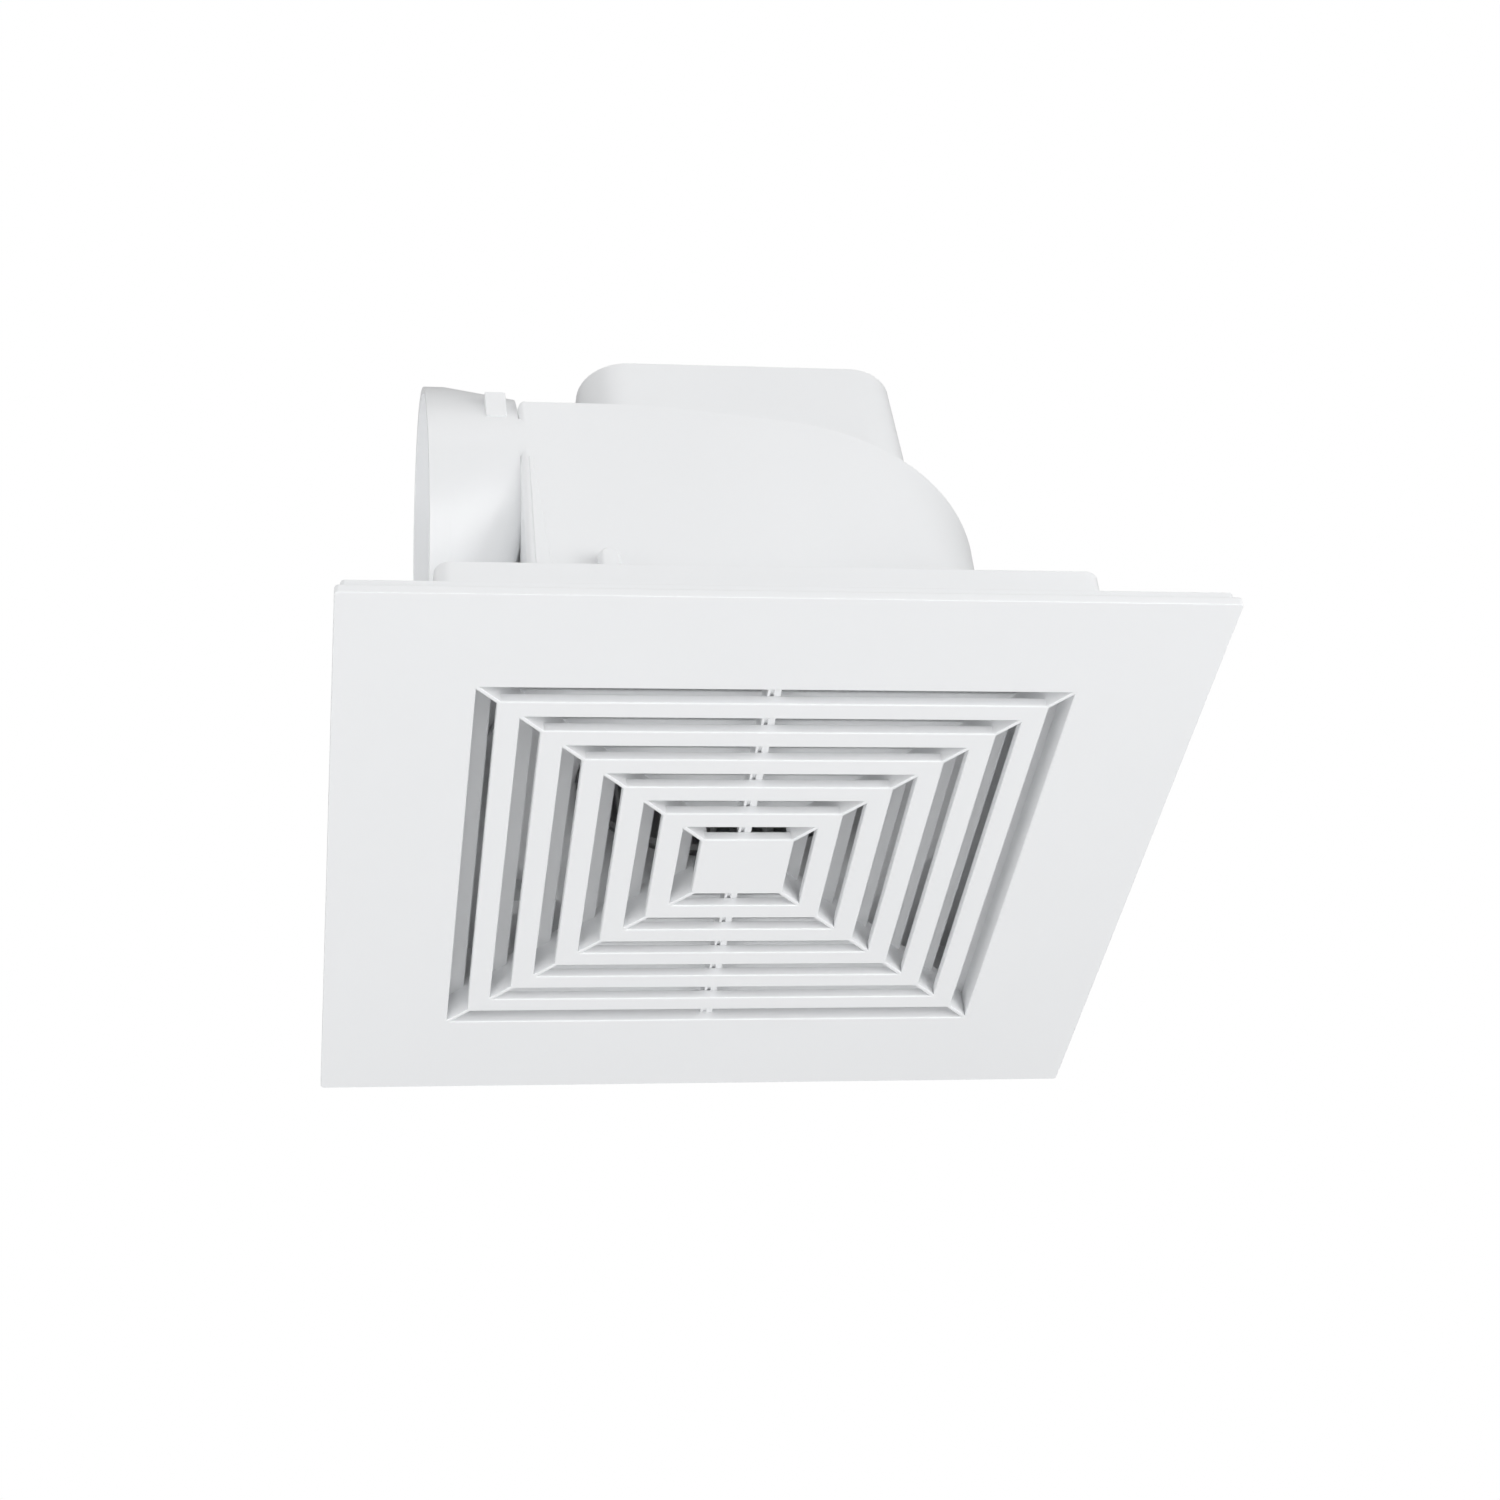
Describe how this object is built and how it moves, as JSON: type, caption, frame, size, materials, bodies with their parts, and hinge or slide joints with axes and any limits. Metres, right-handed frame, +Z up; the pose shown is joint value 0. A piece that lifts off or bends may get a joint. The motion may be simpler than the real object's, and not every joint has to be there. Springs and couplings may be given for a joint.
{
  "type": "bathroom extractor fan",
  "caption": "Ceiling extractor fan with a square slotted grille, box housing, scroll casing, centrifugal wheel, covered motor and a round side duct spigot with a back-draught flap.",
  "frame": {"origin": "centre of the grille panel's lower face, the face seen from the room", "axes": "+Z up into the ceiling void, the duct spigot points along -X"},
  "size_m": [0.24, 0.24, 0.154],
  "materials": {
    "panel_white": "semi-gloss moulded white",
    "casing_white": "semi-gloss moulded white",
    "inner_white": "satin moulded white",
    "wheel_plastic": "satin moulded pale grey",
    "zinc_steel": "zinc plated",
    "spring_steel": "bright spring wire",
    "shaft_steel": "ground",
    "bearing_steel": "polished",
    "laminations": "stacked sheet, lacquered",
    "cast_aluminium": "as cast",
    "copper_winding": "enamelled copper wire",
    "brass_nut": "machined",
    "black_rubber": "matt",
    "capacitor_case": "moulded, sealed",
    "terminal_plastic": "moulded",
    "lead_sheath": "flexible sheath"
  },
  "bodies": {
    "housing": {"housing_box": "casing_white", "spring_brackets": "zinc_steel", "bracket_rivets": "zinc_steel", "inlet_ring": "inner_white", "inlet_ring_screws": "zinc_steel", "volute_casing": "casing_white", "volute_screws": "zinc_steel", "duct_adaptor": "casing_white", "adaptor_screws": "zinc_steel", "damper_pin": "spring_steel", "stator_core": "laminations", "stator_windings": "copper_winding", "lower_end_shield": "zinc_steel", "upper_end_shield": "zinc_steel", "lower_bearing": "bearing_steel", "upper_bearing": "bearing_steel", "motor_spacers": "zinc_steel", "motor_bolts": "zinc_steel", "rubber_mounts": "black_rubber", "mount_screws": "zinc_steel", "run_capacitor": "capacitor_case", "motor_cover": "casing_white", "cover_screws": "zinc_steel", "terminal_box": "casing_white", "terminal_lid": "casing_white", "terminal_lid_screw": "zinc_steel", "terminal_box_screws": "zinc_steel", "terminal_block": "terminal_plastic", "terminal_block_screws": "brass_nut", "cable_grommet": "black_rubber", "lead_grommets": "black_rubber", "motor_lead": "lead_sheath"},
    "panel": {"grille_panel": "panel_white", "panel_springs": "spring_steel"},
    "rotor": {"fan_wheel": "wheel_plastic", "wheel_hub_nut": "brass_nut", "motor_shaft": "shaft_steel", "rotor_core": "laminations", "rotor_end_rings": "cast_aluminium"},
    "damper": {"damper_flap": "inner_white"}
  },
  "joints": [
    {"name": "panel_pull", "type": "slide", "parent": "housing", "child": "panel", "axis": [0, 0, -1], "range_m": [0, 0.0195], "stiffness_N_per_m": 120, "springref_m": -0.05},
    {"name": "rotor_spin", "type": "hinge", "parent": "housing", "child": "rotor", "pos_m": [0, 0, 0.1], "axis": [0, 0, 1], "continuous": true},
    {"name": "damper_swing", "type": "hinge", "parent": "housing", "child": "damper", "pos_m": [-0.0724, -0.0356, 0.109], "axis": [0, 1, 0], "range_deg": [0, 75]}
  ]
}
